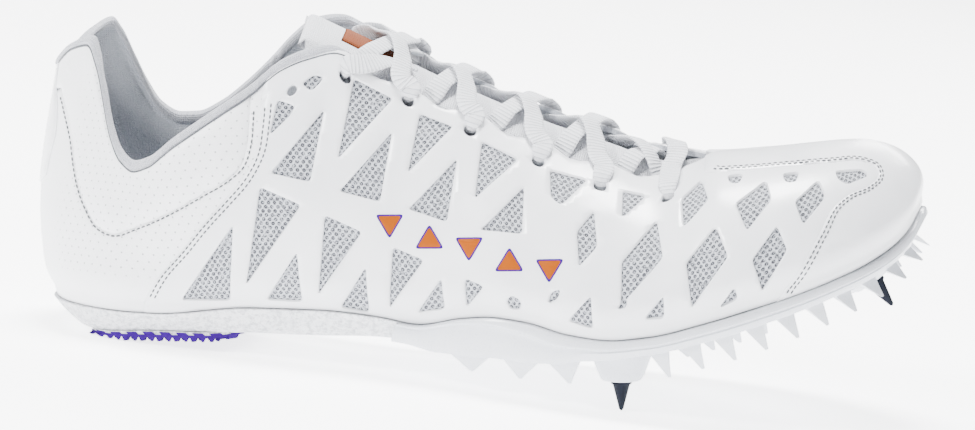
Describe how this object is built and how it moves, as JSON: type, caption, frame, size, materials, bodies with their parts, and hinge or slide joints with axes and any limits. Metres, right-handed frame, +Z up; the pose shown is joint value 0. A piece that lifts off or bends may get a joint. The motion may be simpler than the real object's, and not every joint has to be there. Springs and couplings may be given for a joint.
{
  "type": "track spike shoe",
  "caption": "Low running shoe with a windowed synthetic upper over mesh, laced throat, foam heel and a rigid toothed forefoot plate with spikes.",
  "frame": {"origin": "bottom centre of the bounding box, on the floor that the heel tread and the rear spikes stand on", "axes": "+X along the shoe to the toe, -Y to the outer (lateral) side, +Z up"},
  "size_m": [0.288, 0.0938, 0.1106],
  "materials": {
    "mesh": "silver-grey ringed mesh laminated on the lining",
    "synthetic": "glossy white synthetic skin",
    "lining": "grey brushed lining",
    "label": "plain orange patch",
    "foam": "grainy white foam",
    "plate": "satin white rigid plate",
    "tread": "purple rubber",
    "spike": "blue-black coated steel",
    "lace": "ribbed flat lace"
  },
  "bodies": {
    "root": {"upper": "mesh", "quarter_overlay_lateral": "synthetic", "quarter_overlay_medial": "synthetic", "toe_overlay": "synthetic", "heel_counter": "synthetic", "insole": "lining", "midsole": "foam", "spike_plate": "plate", "spike_rear_lateral": "spike", "spike_rear_medial": "spike", "spike_front_lateral": "spike", "spike_front_medial": "spike", "heel_tread": "tread", "tongue": "lining", "tongue_label": "label", "lace_crossing_1": "lace", "lace_crossing_2": "lace", "lace_crossing_3": "lace", "lace_crossing_4": "lace", "lace_crossing_5": "lace"}
  },
  "joints": []
}
